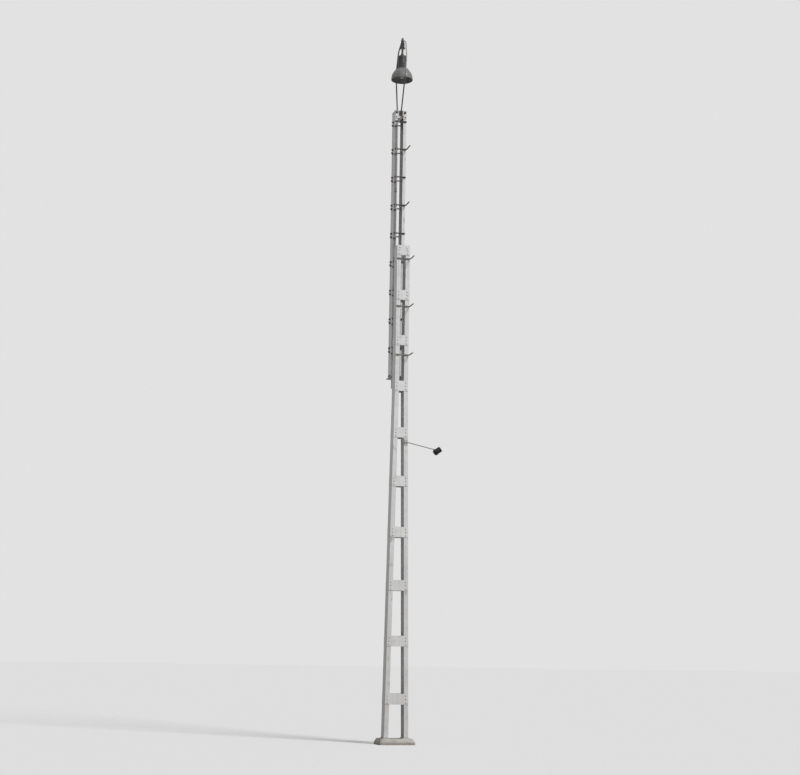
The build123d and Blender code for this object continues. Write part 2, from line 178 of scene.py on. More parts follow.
# Materials
class Nodes:
    """A short way to write a material's nodes."""

    def __init__(self, name):
        self.material = bpy.data.materials.new(name)
        self.material.use_nodes = True
        self.tree = self.material.node_tree
        self.shader = self.tree.nodes["Principled BSDF"]
        self.coordinates = self.add("ShaderNodeTexCoord").outputs["Object"]

    def add(self, kind, inputs=None, **settings):
        node = self.tree.nodes.new(kind)
        for key, value in settings.items():
            setattr(node, key, value)
        for key, value in (inputs or {}).items():
            self.feed(node.inputs[key], value)
        return node

    def feed(self, socket, value):
        """Link a node's output to a socket, or set the socket itself to a constant."""
        if isinstance(value, bpy.types.NodeSocket):
            self.tree.links.new(value, socket)
        else:
            socket.default_value = value

    def set(self, **values):
        """Feed the shader's sockets, named with underscores."""
        for key, value in values.items():
            self.feed(self.shader.inputs[key.replace("_", " ")], value)

    def noise(self, scale, detail=4.0, stretch=(1, 1, 1), roughness=0.5):
        place = self.add("ShaderNodeMapping", {"Vector": self.coordinates, "Scale": stretch})
        settings = {
            "Vector": place.outputs[0], "Scale": scale, "Detail": detail, "Roughness": roughness,
        }
        return self.add("ShaderNodeTexNoise", settings).outputs["Fac"]

    def along(self, axis, vector=None):
        """The X, Y or Z of a vector, or of the surface point in metres."""
        parts = self.add("ShaderNodeSeparateXYZ", {0: vector or self.coordinates})
        return parts.outputs[axis]

    def ramp(self, value, low, high, start=0.0, end=1.0):
        settings = {
            "Value": value, "From Min": low, "From Max": high, "To Min": start, "To Max": end,
        }
        return self.add("ShaderNodeMapRange", settings).outputs["Result"]

    def math(self, operation, first, second):
        inputs = {0: first, 1: second}
        return self.add("ShaderNodeMath", inputs, operation=operation, use_clamp=True).outputs[0]

    def mix(self, share, first, second):
        inputs = {"Factor": share, 6: first, 7: second}
        return self.add("ShaderNodeMix", inputs, data_type="RGBA").outputs[2]

    def near(self, distance, inside=False):
        """1 in corners and beside what stands on a face or, seen from inside, along edges."""
        inputs = {"Distance": distance}
        shade = self.add("ShaderNodeAmbientOcclusion", inputs, samples=6, inside=inside)
        return self.ramp(shade.outputs["AO"], 0.45, 0.9, 1.0, 0.0)

    def bump(self, height, strength, distance):
        inputs = {"Height": height, "Strength": strength, "Distance": distance}
        self.set(Normal=self.add("ShaderNodeBump", inputs).outputs[0])


def grey(level, warmth=0.0):
    return (level * (1 + warmth), level, level * (1 - warmth), 1.0)


def weathered_paint(name, level, rust, foot_dirt=0.0, painted_bounce_light=None):
    """Matt paint: blotches, rain streaks, grime and painted shade round fasteners and in corners,
    painted bounce light in recesses if asked, worn edges, rust and its runs.
    """
    nodes = Nodes(name)
    cloud = nodes.ramp(nodes.noise(2.4, 5.0), 0.3, 0.7)
    base = nodes.mix(cloud, grey(level * 0.93), grey(level * 1.04))
    blotch = nodes.ramp(nodes.noise(9.5, 6.0, roughness=0.62), 0.46, 0.62, 0.0, 0.4)
    base = nodes.mix(blotch, base, grey(level * 0.78, 0.02))
    streaks = nodes.ramp(nodes.noise(30.0, 4.0, (1, 1, 0.03)), 0.5, 0.78, 0.0, 0.45)
    base = nodes.mix(streaks, base, grey(level * 0.6, 0.03))
    # Painted bounce light: paint made lighter in recesses and corners, to lift their shade
    if painted_bounce_light:
        base = nodes.mix(nodes.near(BOUNCE_LIGHT_REACH), base, grey(painted_bounce_light))
    # Grime and painted shade: darker in corners, crevices and beside fasteners
    grime_and_shade = nodes.math("MULTIPLY", nodes.near(GRIME_AND_SHADE_REACH), 0.55)
    base = nodes.mix(grime_and_shade, base, grey(level * 0.32, 0.07))
    if foot_dirt:
        splash = nodes.ramp(nodes.along("Z"), 0.1, 5.5, foot_dirt, 0.0)
        patchy = nodes.ramp(nodes.noise(5.0, 5.0), 0.2, 0.7, 0.55, 1.0)
        base = nodes.mix(nodes.math("MULTIPLY", splash, patchy), base, grey(level * 0.45, 0.05))
    flaking = nodes.ramp(nodes.noise(26.0, 6.0), 0.42, 0.6)
    worn = nodes.math("MULTIPLY", nodes.near(PAINT_EDGE, True), flaking)
    blots = nodes.ramp(nodes.noise(11.0, 7.0, (1, 1, 0.35), 0.68), 0.6, 0.68)
    trickles = nodes.ramp(nodes.noise(46.0, 3.0, (1, 1, 0.022)), 0.6, 0.72)
    runs = nodes.math("MULTIPLY", trickles, nodes.ramp(nodes.noise(3.0, 3.0), 0.45, 0.6, 0.0, 0.6))
    share = nodes.math("ADD", nodes.math("ADD", worn, blots), runs)
    base = nodes.mix(nodes.math("MULTIPLY", share, rust), base, RUST)
    nodes.set(Base_Color=base, Roughness=nodes.ramp(cloud, 0, 1, 0.55, 0.72))
    flakes = nodes.math("ADD", nodes.noise(380.0, 3.0), nodes.math("MULTIPLY", blots, 0.8))
    nodes.bump(flakes, 0.3, 0.0009)
    return nodes.material


def oxidised_iron(name, level, rust, metallic=0.25, worn_beyond=0.0, painted_light_above=None):
    """Dark iron with a scaly skin and rust, worn bright past an X, with painted light above a
    height.
    """
    nodes = Nodes(name)
    scale = nodes.ramp(nodes.noise(38.0, 6.0), 0.35, 0.65)
    base = nodes.mix(scale, grey(level * 0.75), grey(level * 1.3, 0.03))
    if painted_light_above:
        height, pale = painted_light_above
        # Painted light: the iron is made lighter above a height
        painted_light = nodes.ramp(nodes.along("Z"), height - 0.08, height + 0.12)
        blotch = nodes.ramp(nodes.noise(30.0, 5.0), 0.35, 0.65)
        base = nodes.mix(painted_light, base, nodes.mix(blotch, grey(pale * 0.8), grey(pale)))
    if worn_beyond:
        bright = nodes.ramp(nodes.along("X"), worn_beyond, worn_beyond + 0.05, 0.0, 0.85)
        base = nodes.mix(bright, base, grey(0.36, 0.03))
    blots = nodes.ramp(nodes.noise(16.0, 6.0, roughness=0.65), 0.5, 0.66)
    base = nodes.mix(nodes.math("MULTIPLY", blots, rust), base, RUST)
    edges = nodes.math("MULTIPLY", nodes.near(IRON_EDGE, True), 0.5)
    base = nodes.mix(edges, base, grey(min(level * 2.2, 0.5), 0.04))
    nodes.set(Base_Color=base, Roughness=nodes.ramp(scale, 0, 1, 0.58, 0.8), Metallic=metallic)
    nodes.bump(nodes.noise(240.0, 5.0), 0.45, 0.0012)
    return nodes.material


def sooty_enamel(name, level, dust, roughness=0.45, coat=0.0, specular=0.4):
    """Enamel or gloss paint under dust that gathers on faces that look up."""
    nodes = Nodes(name)
    cloud = nodes.ramp(nodes.noise(14.0, 5.0), 0.3, 0.7)
    base = nodes.mix(cloud, grey(level * 0.82), grey(level * 1.12, 0.02))
    up = nodes.along("Z", nodes.add("ShaderNodeNewGeometry").outputs["Normal"])
    settled = nodes.ramp(up, 0.1, 0.9, 0.0, dust)
    runs = nodes.ramp(nodes.noise(60.0, 3.0, (1, 1, 0.06)), 0.45, 0.75, 0.0, min(dust, 0.3))
    base = nodes.mix(nodes.math("ADD", settled, runs), base, grey(0.2, 0.04))
    chips = nodes.ramp(nodes.noise(24.0, 6.0, roughness=0.7), 0.66, 0.7)
    base = nodes.mix(chips, base, RUST)
    dull = nodes.ramp(cloud, 0, 1, roughness - 0.08, roughness + 0.16)
    nodes.set(Base_Color=base, Roughness=dull, Coat_Weight=coat, Specular_IOR_Level=specular)
    nodes.bump(nodes.noise(150.0, 4.0), 0.16, 0.0008)
    return nodes.material


def rough_concrete(name):
    """Concrete with stones and pores, damp at the ground, and darker in its corners with rust stains
    and painted shade.
    """
    nodes = Nodes(name)
    cloud = nodes.ramp(nodes.noise(4.0, 6.0), 0.3, 0.7)
    base = nodes.mix(cloud, *CONCRETE_TONES)
    stones = nodes.add("ShaderNodeTexVoronoi", {"Vector": nodes.coordinates, "Scale": 85.0})
    specks = nodes.ramp(stones.outputs["Distance"], 0.12, 0.3, 0.4, 0.0)
    base = nodes.mix(specks, base, STONE_SPECKS)
    damp = nodes.ramp(nodes.along("Z"), 0.0, 0.07, 0.55, 0.0)
    base = nodes.mix(damp, base, DAMP_CONCRETE)
    patches = nodes.ramp(nodes.noise(14.0, 5.0), 0.3, 0.6)
    # Rust stains and painted shade: darker and browner in the corners
    rust_and_shade = nodes.math("MULTIPLY", nodes.near(RUST_AND_SHADE_REACH), patches)
    base = nodes.mix(nodes.math("MULTIPLY", rust_and_shade, 0.7), base, RUST_AND_SHADE_TONE)
    nodes.set(Base_Color=base, Roughness=nodes.ramp(cloud, 0, 1, 0.85, 0.97))
    nodes.bump(nodes.ramp(nodes.noise(120.0, 5.0), 0.35, 0.6), 0.6, 0.003)
    return nodes.material


def dusty_glass(name):
    """Glass of the bulb, half clear under patches of dust."""
    nodes = Nodes(name)
    dust = nodes.ramp(nodes.noise(40.0, 5.0), 0.35, 0.7)
    base = nodes.mix(dust, grey(0.62, -0.01), grey(0.34, 0.05))
    dull = nodes.ramp(dust, 0, 1, 0.22, 0.6)
    nodes.set(Base_Color=base, Roughness=dull, Transmission_Weight=0.35, IOR=1.47)
    nodes.bump(nodes.noise(90.0, 2.0), 0.05, 0.0005)
    return nodes.material


def pale_floor():
    """Pale floor that the camera sees near the backdrop's tone, with the mast's shadow kept."""
    nodes = Nodes("pale_floor")
    seen = nodes.add("ShaderNodeLightPath").outputs["Is Camera Ray"]
    lit = nodes.mix(nodes.noise(0.6, 3.0), *map(grey, FLOOR_TONES))
    base = nodes.mix(seen, lit, grey(FLOOR_SEEN))
    nodes.set(Base_Color=base, Roughness=0.95, Specular_IOR_Level=0.0)
    return nodes.material


finishes = {
    # The shaft's paint is given painted bounce light inside its channels
    "shaft_paint": weathered_paint("shaft_paint", 0.63, 0.55, foot_dirt=0.5, painted_bounce_light=0.86),
    "batten_paint": weathered_paint("batten_paint", 0.66, 0.5, foot_dirt=0.45),
    "extension_paint": weathered_paint("extension_paint", 0.64, 0.55),
    "bracket_paint": weathered_paint("bracket_paint", 0.40, 0.8),
    "dark_iron": oxidised_iron("dark_iron", 0.075, 0.7),
    "conduit_coat": weathered_paint("conduit_coat", 0.22, 0.5),
    "harp_iron": oxidised_iron("harp_iron", 0.05, 0.5, metallic=0.1),
    "lamp_enamel": sooty_enamel("lamp_enamel", 0.026, 0.3),
    "shade_enamel": sooty_enamel("shade_enamel", 0.175, 0.3, roughness=0.4, coat=0.1),
    "lamp_holder": sooty_enamel("lamp_holder", 0.24, 0.1, roughness=0.3),
    "bulb_glass": dusty_glass("bulb_glass"),
    "drum_paint": sooty_enamel("drum_paint", 0.009, 0.05, roughness=0.42, specular=0.25),
    "concrete": rough_concrete("concrete"),
}
shade_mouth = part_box("lamp_shade")[0].z
variants = {
    "front_rungs": oxidised_iron("tarred_bars", 0.035, 0.6),
    "back_rungs": oxidised_iron("tarred_back_bars", 0.035, 0.6),
    "extension_step_irons": oxidised_iron("worn_irons", 0.04, 0.5, worn_beyond=0.105),
    "shaft_step_irons": oxidised_iron("worn_shaft_irons", 0.16, 0.5, worn_beyond=0.125),
    # The front rod gets painted light above the shade's mouth; the back rod stays plain dark iron
    "harp_front_rod": oxidised_iron(
        "painted_lit_rod", 0.05, 0.5, metallic=0.1, painted_light_above=(shade_mouth, 0.42)
    ),
    "harp_apex": oxidised_iron("sooty_apex", 0.03, 0.4, metallic=0.1),
    "arm_plate": weathered_paint("arm_plate_paint", 0.64, 0.5),
    "lamp_collar": sooty_enamel("dusty_collar", 0.24, 0.8),
    "drum_arm": weathered_paint("arm_coat", 0.32, 0.7),
}
slot_of = {part["node"]: part["material_slot"] for part in frame["record"]["subparts"]}
for node, obj in frame["nodes"].items():
    for place in obj.material_slots:
        place.material = variants.get(node, finishes[slot_of[node]])


# Shapes: each gives vertices and faces about its own origin
def circle(sides):
    """Points round a circle of radius 1."""
    turns = [2 * pi * i / sides for i in range(sides)]
    return [(cos(turn), sin(turn)) for turn in turns]


def arch(radius, height, parts=12):
    """Half a circle from -X over to +X, about a point at a height."""
    turns = [pi - pi * i / parts for i in range(parts + 1)]
    return [(radius * cos(turn), height + radius * sin(turn)) for turn in turns]


def closed_rings(rings):
    """A closed skin over rings that have equally many points."""
    sides = len(rings[0])
    points = [point for ring in rings for point in ring]
    faces = [tuple(range(sides))[::-1]]
    for low in range(0, len(points) - sides, sides):
        for i in range(sides):
            j = (i + 1) % sides
            faces.append((low + i, low + j, low + sides + j, low + sides + i))
    faces.append(tuple(range(len(points) - sides, len(points))))
    return points, faces


def turned(profile, sides):
    """A closed shape turned about Z through (radius, height) pairs."""
    return closed_rings(
        [[(radius * x, radius * y, height) for x, y in circle(sides)] for radius, height in profile]
    )


def strip(path, thickness, width):
    """A flat bar bent along a path in the X-Z plane, with its width along Y."""
    points = [Vector((x, 0, z)) for x, z in path]
    last = len(points) - 1
    edge = Y * width / 2
    rings = []
    for i, point in enumerate(points):
        before = (point - points[i - 1]).normalized() if i else Vector()
        after = (points[i + 1] - point).normalized() if i < last else Vector()
        run = (before + after).normalized()
        reach = 1 / max(run.dot(after), 0.5) if 0 < i < last else 1
        normal = Vector((-run.z, 0, run.x)) * thickness / 2 * reach
        upper, lower = point + normal, point - normal
        rings.append([upper - edge, upper + edge, lower + edge, lower - edge])
    return closed_rings(rings)


def rod(path, radius, sides=10):
    """A round bar bent along points."""
    rings = []
    side = (path[1] - path[0]).orthogonal()
    for i, point in enumerate(path):
        run = (path[min(i + 1, len(path) - 1)] - path[max(i - 1, 0)]).normalized()
        side = (side - run * side.dot(run)).normalized()
        other = run.cross(side)
        rings.append([point + (side * x + other * y) * radius for x, y in circle(sides)])
    return closed_rings(rings)


def saddle(radius, seat, foot, width):
    """A strap over a round bar whose centre lies at a height over the seat."""
    reach = radius + STRAP_THICKNESS / 2 + SEAT_GAP
    low = STRAP_THICKNESS / 2
    over = arch(reach, seat, 10)
    path = [(-reach - foot, low), (-reach, low), *over, (reach, low), (reach + foot, low)]
    return strip(path, STRAP_THICKNESS, width)


def hoop(depth):
    """A wire bent over a rung on its seat, its two ends reaching down through a flange."""
    over = [Vector((x, 0, z)) for x, z in arch(HOOP_REACH, RUNG_SEAT)]
    start = Vector((-HOOP_REACH, 0, -depth))
    end = Vector((HOOP_REACH, 0, -depth))
    return rod([start, *over, end], HOOP_WIRE / 2)


def bead(start, end, radius):
    """A weld bead with its ripples, along a line."""
    run = end - start
    side = run.orthogonal().normalized()
    other = run.normalized().cross(side)
    ripples = max(int(run.length / WELD_RIPPLE), 3)
    rings = []
    for ripple in range(ripples + 1):
        centre = start + run * ripple / ripples
        swell = radius * (1 + 0.16 * (ripple % 2) + chance.uniform(-0.1, 0.1))
        if ripple in (0, ripples):
            swell *= 0.45
        rings.append([centre + (side * x + other * y) * swell for x, y in circle(6)])
    return closed_rings(rings)


def mound(levels, wear, power=12, around=144):
    """Stacked rounded rectangles through (half width, half depth, height), worn by noise."""
    rings = []
    for half_width, half_depth, height in levels:
        ring = []
        for x, y in circle(around):
            reach = (abs(x / half_width) ** power + abs(y / half_depth) ** power) ** (-1 / power)
            point = Vector((reach * x, reach * y, height))
            if height > 0:
                worn = noise.noise(point * 16) + 0.6 * noise.noise(point * 55) + 0.8
                point -= Vector((point.x, point.y, 0)).normalized() * wear * worn
                point.z -= wear * abs(noise.noise(point * 30))
            ring.append(point)
        rings.append(ring)
    return closed_rings(rings)


def facing(place, out, along=None, spin=0.0):
    """A place whose Z looks out of a face. Its Y lies along a direction, if one is given."""
    out = out.normalized()
    if along is None:
        turn = out.to_track_quat("Z", "Y").to_matrix().to_4x4() @ Matrix.Rotation(spin, 4, "Z")
    else:
        along = along.normalized()
        turn = Matrix((along.cross(out), along, out)).transposed().to_4x4()
    return Matrix.Translation(place) @ turn


class Piece:
    """Shapes that make one object with one finish."""

    def __init__(self, name, slot):
        self.name, self.slot = name, slot
        self.vertices, self.faces = [], []

    def add(self, shape, matrix=Matrix()):
        points, faces = shape
        start = len(self.vertices)
        self.vertices += [matrix @ Vector(point) for point in points]
        self.faces += [tuple(start + i for i in face) for face in faces]

    def rivet(self, place, out, radius=RIVET_RADIUS, height=RIVET_HEIGHT):
        """A rivet's round head."""
        steps = ((1.0, -0.1), (1.0, 0.1), (0.93, 0.42), (0.74, 0.72), (0.44, 0.93), (0.14, 1.0))
        size = radius * chance.uniform(0.96, 1.04)
        profile = [(size * across, height * up) for across, up in steps]
        self.add(turned(profile, 14), facing(place, out))

    def bolt(self, place, out, size, end=0.5):
        """Washer, nut and bolt end of a bolt with a given diameter."""
        across, washer, nut = size * 0.98, size * 0.16, size * 0.8
        rim, top = across * 1.12, washer + nut
        place = facing(place, out, spin=chance.uniform(0, pi / 3))
        self.add(turned([(rim, -0.0005), (rim, washer * 0.8), (across * 1.06, washer)], 18), place)
        flats = [
            (across * 0.9, washer),
            (across, washer + nut * 0.14),
            (across, washer + nut * 0.84),
            (across * 0.86, top),
        ]
        self.add(turned(flats, 6), place)
        thread = [
            (size / 2, top - 0.001),
            (size / 2, top + size * end * 0.8),
            (size * 0.4, top + size * end),
        ]
        self.add(turned(thread, 12), place)

    def strapped(self, foot, out, along, bolt):
        """A saddle over the side arm's rod with a bolt in each foot."""
        matrix = facing(foot, out, along)
        self.add(saddle(ARM_RADIUS, ARM_SEAT, ARM_STRAP_FOOT, ARM_STRAP_WIDTH), matrix)
        reach = ARM_RADIUS + STRAP_THICKNESS + ARM_STRAP_FOOT / 2
        for side in SIDES:
            self.bolt(matrix @ Vector((side * reach, 0, STRAP_THICKNESS)), out, bolt)

    def hooped(self, foot, out, flange):
        """A hoop over a rung that lies along X, with the nuts of its ends behind the flange."""
        self.add(hoop(flange + HOOP_TAIL), facing(foot, out, X))
        behind = foot - out * flange
        for side in SIDES:
            place = behind + X.cross(out) * side * HOOP_REACH
            self.bolt(place, -out, HOOP_WIRE, end=0.6)

    def make(self, sharp=38, replaced=()):
        """One object that rides on the mast, with edges sharp beyond an angle in degrees."""
        mesh = bpy.data.meshes.new(self.name)
        mesh.from_pydata(self.vertices, [], self.faces)
        outward = bmesh.new()
        outward.from_mesh(mesh)
        bmesh.ops.recalc_face_normals(outward, faces=outward.faces)
        outward.to_mesh(mesh)
        outward.free()
        mesh.shade_smooth()
        mesh.set_sharp_from_angle(angle=radians(sharp))
        mesh.materials.append(finishes[self.slot])
        obj = link(bpy.data.objects.new(self.name, mesh))
        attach(obj, "root")
        if replaced:
            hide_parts(*replaced)


def outer_half(height):
    """Half of the shaft's outer width at a height."""
    return (FOOT_WIDTH + (HEAD_WIDTH - FOOT_WIDTH) * min(height / KNEE_HEIGHT, 1)) / 2


def middle(node):
    low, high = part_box(node)
    return (low + high) / 2


# Levels and faces that the fasteners sit on
battens = [middle(f"batten_pair_{number}").z for number in range(1, BATTEN_LEVELS + 1)]
batten_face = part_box("batten_pair_1")[1].y
leg_low, leg_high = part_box("extension_right_leg")
leg_front, leg_back, leg_outside = leg_low.y, leg_high.y, leg_high.x
leg_middle_y = (leg_front + leg_back) / 2
shelf_low, shelf_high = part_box("knee_shelf")
shelf_top = shelf_high.z
head_low, head_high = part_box("head_front_plate")
rungs = []
while shelf_top + RUNG_SPACING * (len(rungs) + 1) < head_low.z - RUNG_RADIUS:
    rungs.append(shelf_top + RUNG_SPACING * (len(rungs) + 1))
irons = [level - drop for level, drop in zip(battens[-len(IRON_DROPS):], IRON_DROPS)]
bracket_levels = (middle("lower_brackets").z, middle("upper_brackets").z)

# Rivets of the batten plates, left out behind where brackets are bolted
rivets = Piece("batten_rivets", "batten_paint")
for level in battens:
    bracket_here = any(abs(level - bracket) < SAME_LEVEL for bracket in bracket_levels)
    for lift in (-RIVET_SPACING, 0, RIVET_SPACING):
        inset = ARCH_INSET if level == battens[-1] and lift > 0 else 0
        reach = outer_half(level + lift) - FLANGE_MIDDLE - inset
        for side in SIDES:
            place = Vector((side * reach, 0, level + lift - inset))
            rivets.rivet(place - Y * batten_face, -Y)
            if not bracket_here:
                rivets.rivet(place + Y * batten_face, Y)
rivets.make()

# Bolts of the brackets on the battens, and of the cleats on the shelf and the webs
bolts = Piece("bracket_bolts", "dark_iron")
bracket_face = batten_face + BRACKET_PLATE
for level in bracket_levels:
    for side in SIDES:
        for lift in (-BRACKET_BOLT_REACH, BRACKET_BOLT_REACH):
            bolts.bolt(Vector((side * LEG_FLANGE_X, bracket_face, level + lift)), Y, MIDDLE_BOLT)
cleat_low, cleat_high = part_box("extension_cleats")
for side in SIDES:
    for reach in (-CLEAT_BOLT_REACH, CLEAT_BOLT_REACH):
        x, y = side * (cleat_high.x - CLEAT_BOLT_INSET), leg_middle_y + reach
        bolts.bolt(Vector((x, y, cleat_low.z + CLEAT_THICKNESS)), Z, MIDDLE_BOLT)
        bolts.bolt(Vector((x, y, shelf_low.z)), -Z, MIDDLE_BOLT, end=0.9)
        web = Vector((side * leg_outside, y, cleat_low.z + CLEAT_BOLT_INSET))
        bolts.bolt(web, X * side, MIDDLE_BOLT)
bolts.make()

# Welds of the gussets, the brackets' plates and the shelf
welds = Piece("bracket_welds", "bracket_paint")
gusset_low, gusset_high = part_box("shelf_gussets")
for side in SIDES:
    for edge in (gusset_high.x - GUSSET_THICKNESS, gusset_high.x):
        low = Vector((side * edge, batten_face, gusset_low.z))
        high = Vector((side * edge, batten_face, gusset_high.z))
        back = Vector((side * edge, leg_back, gusset_high.z))
        welds.add(bead(low, high, WELD))
        welds.add(bead(high + Y * WELD_INSET, back - Y * WELD_INSET, THIN_WELD))
    for level in bracket_levels:
        for edge in (leg_outside - BRACKET_PLATE, leg_outside):
            centre = Vector((side * edge, leg_front, level))
            reach = Z * BRACKET_WELD_REACH
            welds.add(bead(centre - reach, centre + reach, THIN_WELD))
shelf_left, shelf_right = (Vector((side * HEAD_WIDTH / 2, batten_face, shelf_top)) for side in SIDES)
welds.add(bead(shelf_left, shelf_right, WELD))
welds.make(sharp=60)

# Rungs: a hoop over each end of a bar, and two nuts on the web beside it
hoops = Piece("rung_hoops", "dark_iron")
nuts = Piece("rung_nuts", "dark_iron")
for height in rungs:
    for x in FRONT_HOOPS:
        hoops.hooped(Vector((x, leg_front, height)), -Y, LEG_FLANGE)
    for x in (-LEG_FLANGE_X, LEG_FLANGE_X):
        hoops.hooped(Vector((x, leg_back, height)), Y, LEG_FLANGE)
    for side in SIDES:
        for lift in WEB_NUT_LIFTS:
            place = Vector((side * leg_outside, leg_middle_y + WEB_NUT_BACK, height + lift))
            nuts.bolt(place, X * side, LARGE_BOLT, end=0.7)
hoops.make()
nuts.make()

# Step irons: a hoop over each end on the shaft's front flanges
shaft_hoops = Piece("shaft_iron_hoops", "bracket_paint")
for height in irons:
    for side in SIDES:
        x = side * (outer_half(height) - FLANGE_MIDDLE)
        shaft_hoops.hooped(Vector((x, -SHAFT_FACE, height)), -Y, SHAFT_FLANGE)
shaft_hoops.make()

# Conduit clips: bent round the tube, one leg on the flange's edge and a bolted foot inside
clips = Piece("conduit_clips", "dark_iron")
conduit_y = leg_front - RUNG_SEAT - RUNG_RADIUS - SEAT_GAP - CONDUIT_RADIUS
clip_reach = CONDUIT_RADIUS + STRAP_THICKNESS / 2 + SEAT_GAP
clip_path = [
    (-clip_reach, 0),
    *arch(clip_reach, leg_front - conduit_y),
    (clip_reach, STRAP_THICKNESS / 2),
    (clip_reach + CLIP_FOOT, STRAP_THICKNESS / 2),
]
clip = strip(clip_path, STRAP_THICKNESS, CLIP_WIDTH)
for height in rungs:
    place = facing(Vector((CONDUIT_X, leg_front, height - CLIP_DROP)), -Y, -Z)
    clips.add(clip, place)
    bolt_place = place @ Vector((clip_reach + CLIP_BOLT, 0, STRAP_THICKNESS))
    clips.bolt(bolt_place, -Y, TINY_BOLT)

# Rings at the ends of the conduit's sleeve, and the nut of its gland
joint_height = (rungs[CONDUIT_JOINT_RUNG - 1] + rungs[CONDUIT_JOINT_RUNG]) / 2
sleeve_ring = turned([(0.0195, -0.004), (0.0205, -0.002), (0.0205, 0.002), (0.0195, 0.004)], 20)
for side in SIDES:
    place = Vector((CONDUIT_X, conduit_y, joint_height + side * COUPLING_RING))
    clips.add(sleeve_ring, Matrix.Translation(place))
gland = middle("conduit_gland")
gland_nut = turned([(0.021, 0), (0.0245, 0.001), (0.0245, 0.008), (0.022, 0.010)], 6)
clips.add(gland_nut, facing(Vector((gland.x, head_low.y, gland.z)), -Y))
clips.make()

# Head: corner nuts, lower rivets and the bolts through the harp's lugs
head_bolts = Piece("head_bolts", "dark_iron")
head_faces = ((head_low.y, -Y), (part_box("head_back_plate")[1].y, Y))
for side in SIDES:
    for face, out in head_faces:
        corner = Vector((side * HEAD_BOLT_X, face, head_high.z - HEAD_BOLT_DROP))
        head_bolts.bolt(corner, out, LARGE_BOLT, end=1.0)
        foot = Vector((side * HEAD_RIVET_X, face, head_low.z + HEAD_RIVET_RISE))
        head_bolts.rivet(foot, out, radius=0.012, height=0.009)
lug_height = middle("harp_front_lug").z + LUG_BOLT_RISE
head_bolts.bolt(Vector((0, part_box("harp_front_lug")[0].y, lug_height)), -Y, LARGE_BOLT)
head_bolts.bolt(Vector((0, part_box("harp_back_lug")[1].y, lug_height)), Y, LARGE_BOLT)
head_bolts.make()

# Welds where the rods meet the lugs
harp_welds = Piece("harp_welds", "harp_iron")
for lug in ("harp_front_lug", "harp_back_lug"):
    lug_y, lug_top = middle(lug).y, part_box(lug)[1].z
    ring = [Vector((ROD_WELD_X * x, lug_y + ROD_WELD_Y * y, lug_top)) for x, y in circle(16)]
    for first, second in zip(ring, ring[1:] + ring[:1]):
        harp_welds.add(bead(first, second, FINE_WELD))
harp_welds.make(sharp=60)

# Lamp: rolled bands and latches of the housing, nut of the stem, socket and clevis at the apex
lamp = middle("lamp_housing")
housing_low, housing_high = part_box("lamp_housing")
housing_radius = (housing_high.x - housing_low.x) / 2
collar_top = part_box("lamp_collar")[1].z
stem_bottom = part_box("lamp_stem")[0].z
apex_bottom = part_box("harp_apex")[0].z


def on_lamp_axis(height):
    return Matrix.Translation((lamp.x, lamp.y, height))


def rolled_band(radius, swell, rise):
    """A band rolled out of a round wall, about Z."""
    wall, shoulder, crest = radius - 0.004, radius + swell * 0.7, radius + swell
    half = [(wall, rise), (shoulder, rise), (crest, rise * 0.4)]
    return turned([(reach, -height) for reach, height in half] + half[::-1], 40)


fittings = Piece("lamp_fittings", "lamp_enamel")
foot_band = rolled_band(housing_radius, 0.006, 0.009)
lower_band = rolled_band(housing_radius - 0.004, 0.003, 0.006)
upper_band = rolled_band(housing_radius - 0.008, 0.003, 0.006)
fittings.add(foot_band, on_lamp_axis(collar_top + 0.010))
fittings.add(lower_band, on_lamp_axis(collar_top + 0.100))
fittings.add(upper_band, on_lamp_axis(housing_high.z - 0.050))
stem_nut = turned([(0.026, -0.001), (0.0285, 0.003), (0.0285, 0.020), (0.025, 0.024)], 6)
fittings.add(stem_nut, on_lamp_axis(stem_bottom + STEM_RING_HEIGHT))
socket_profile = [
    (0.019, 0.006), (0.026, 0.009), (0.0275, 0.016), (0.0275, 0.040), (0.025, 0.048), (0.018, 0.053),
]
fittings.add(turned(socket_profile, 24), on_lamp_axis(apex_bottom))
apex_nut = turned([(0.021, -0.022), (0.024, -0.019), (0.024, -0.004), (0.021, -0.0005)], 6)
fittings.add(apex_nut, on_lamp_axis(apex_bottom))
clevis_half = [(0.012, -0.0045), (0.024, -0.010), (0.030, -0.022), (0.030, -0.135)]
clevis_path = [(-x, z) for x, z in clevis_half[::-1]] + clevis_half
fittings.add(strip(clevis_path, 0.008, 0.044), on_lamp_axis(apex_bottom - 0.001))
pin_height = apex_bottom - PIN_DROP
pin = [Vector((lamp.x + side * PIN_HALF_LENGTH, lamp.y, pin_height)) for side in SIDES]
for end, side in zip(pin, SIDES):
    fittings.bolt(end, X * side, MIDDLE_BOLT)
fittings.add(rod(pin, MIDDLE_BOLT / 2))
latch_path = [(-0.011, 0.004), (-0.007, 0.012), (0.007, 0.012), (0.011, 0.004)]
latch = strip(latch_path, 0.004, LATCH_LENGTH)
for turn in LATCH_TURNS:
    out = Vector((cos(turn), sin(turn), 0))
    wall = Vector((lamp.x, lamp.y, collar_top + LATCH_RISE)) + out * (housing_radius - LATCH_INSET)
    fittings.add(latch, facing(wall, out, Z))
fittings.make()

# Bolts on the lamp's collar
collar_bolts = Piece("collar_bolts", "dark_iron")
for i in range(COLLAR_BOLTS):
    turn = 2 * pi * (i + 0.5) / COLLAR_BOLTS
    out = Vector((cos(turn), sin(turn), 0))
    place = Vector((lamp.x, lamp.y, collar_top)) + out * COLLAR_BOLT_CIRCLE
    collar_bolts.bolt(place, Z, SMALL_BOLT)
collar_bolts.make()

